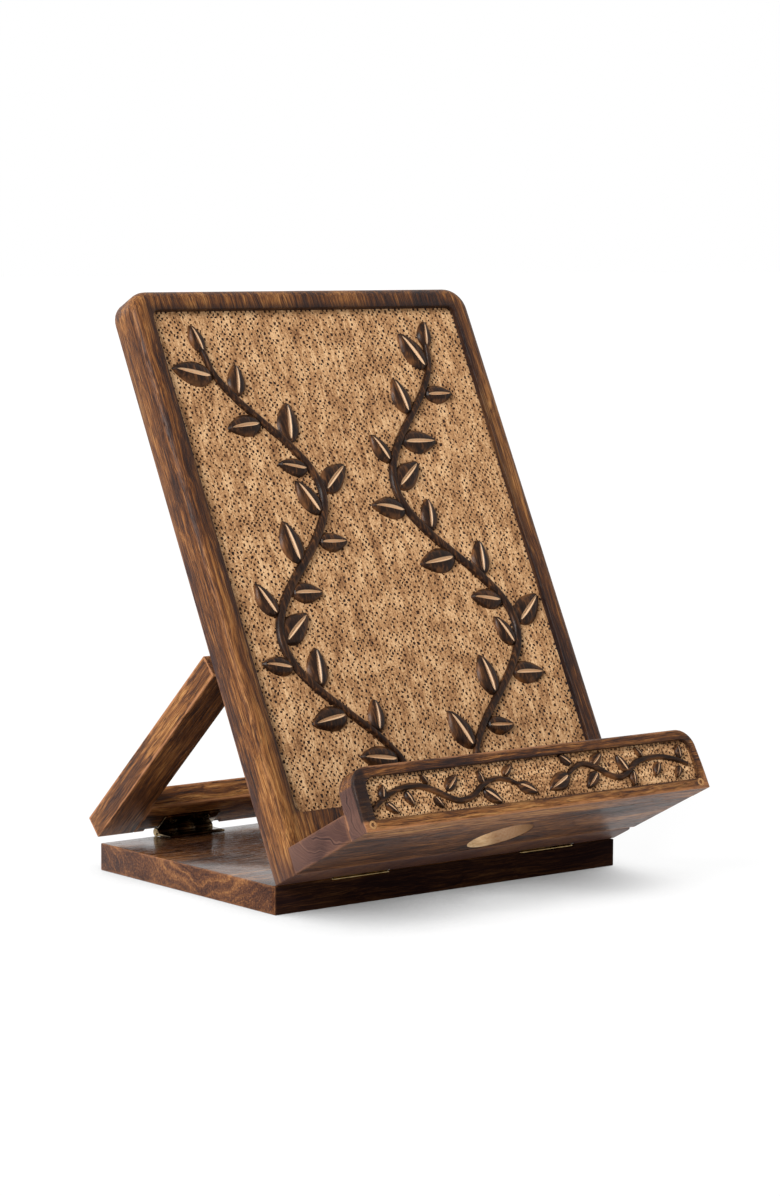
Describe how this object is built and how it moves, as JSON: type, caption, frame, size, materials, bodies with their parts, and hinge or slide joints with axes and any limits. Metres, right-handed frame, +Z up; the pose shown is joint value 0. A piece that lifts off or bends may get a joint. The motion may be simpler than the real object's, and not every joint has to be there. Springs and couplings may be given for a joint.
{
  "type": "tablet stand",
  "caption": "Folding wooden tablet stand: hinged base board, carved back panel with ledge and lip, cable hole, and framed prop leg behind.",
  "frame": {"origin": "centre of the base board's underside, on the table", "axes": "+Z up; +Y to the back, where the leg is; +X to the right of a person who faces the tablet"},
  "size_m": [0.188, 0.1981, 0.2553],
  "materials": {
    "stained_wood": "satin lacquer over dark walnut stain",
    "carved_wood": "satin lacquer, carved field left pale with dark vines",
    "dowel_wood": "satin",
    "aged_brass": "aged, lacquered over",
    "brass_screw": "aged"
  },
  "bodies": {
    "base": {"base_board": "stained_wood", "front_hinge_left_base_leaf": "aged_brass", "front_hinge_left_base_screw_1": "brass_screw", "front_hinge_left_base_screw_2": "brass_screw", "front_hinge_left_pin": "aged_brass", "front_hinge_right_base_leaf": "aged_brass", "front_hinge_right_base_screw_1": "brass_screw", "front_hinge_right_base_screw_2": "brass_screw", "front_hinge_right_pin": "aged_brass", "rear_hinge_left_base_leaf": "aged_brass", "rear_hinge_left_base_screw_1": "brass_screw", "rear_hinge_left_base_screw_2": "brass_screw", "rear_hinge_left_pin": "aged_brass", "rear_hinge_right_base_leaf": "aged_brass", "rear_hinge_right_base_screw_1": "brass_screw", "rear_hinge_right_base_screw_2": "brass_screw", "rear_hinge_right_pin": "aged_brass"},
    "panel": {"front_hinge_left_panel_leaf": "aged_brass", "front_hinge_left_panel_screw_1": "brass_screw", "front_hinge_left_panel_screw_2": "brass_screw", "front_hinge_right_panel_leaf": "aged_brass", "front_hinge_right_panel_screw_1": "brass_screw", "front_hinge_right_panel_screw_2": "brass_screw", "front_lip": "carved_wood", "ledge_board": "stained_wood", "ledge_dowel_1": "dowel_wood", "ledge_dowel_2": "dowel_wood", "ledge_dowel_3": "dowel_wood", "ledge_dowel_4": "dowel_wood", "lip_dowel_left": "dowel_wood", "lip_dowel_right": "dowel_wood", "panel_board": "stained_wood"},
    "leg": {"leg_dowel_foot_left": "dowel_wood", "leg_dowel_foot_right": "dowel_wood", "leg_dowel_top_left": "dowel_wood", "leg_dowel_top_right": "dowel_wood", "leg_foot_rail": "stained_wood", "leg_left_stile": "stained_wood", "leg_right_stile": "stained_wood", "leg_top_rail": "stained_wood", "rear_hinge_left_leg_leaf": "aged_brass", "rear_hinge_left_leg_screw_1": "brass_screw", "rear_hinge_left_leg_screw_2": "brass_screw", "rear_hinge_right_leg_leaf": "aged_brass", "rear_hinge_right_leg_screw_1": "brass_screw", "rear_hinge_right_leg_screw_2": "brass_screw"}
  },
  "joints": [
    {"name": "leg_hinge", "type": "hinge", "parent": "base", "child": "leg", "pos_m": [0, 0.06488, 0.0135], "axis": [-1, 0, 0], "range_deg": [0, 137]},
    {"name": "panel_hinge", "type": "hinge", "parent": "base", "child": "panel", "pos_m": [0, -0.06173, 0.0135], "axis": [-1, 0, 0], "range_deg": [0, 59.3]}
  ],
  "couplings": [
    {"joint": "panel_hinge", "follows": "leg_hinge", "ratio": 0.432}
  ]
}
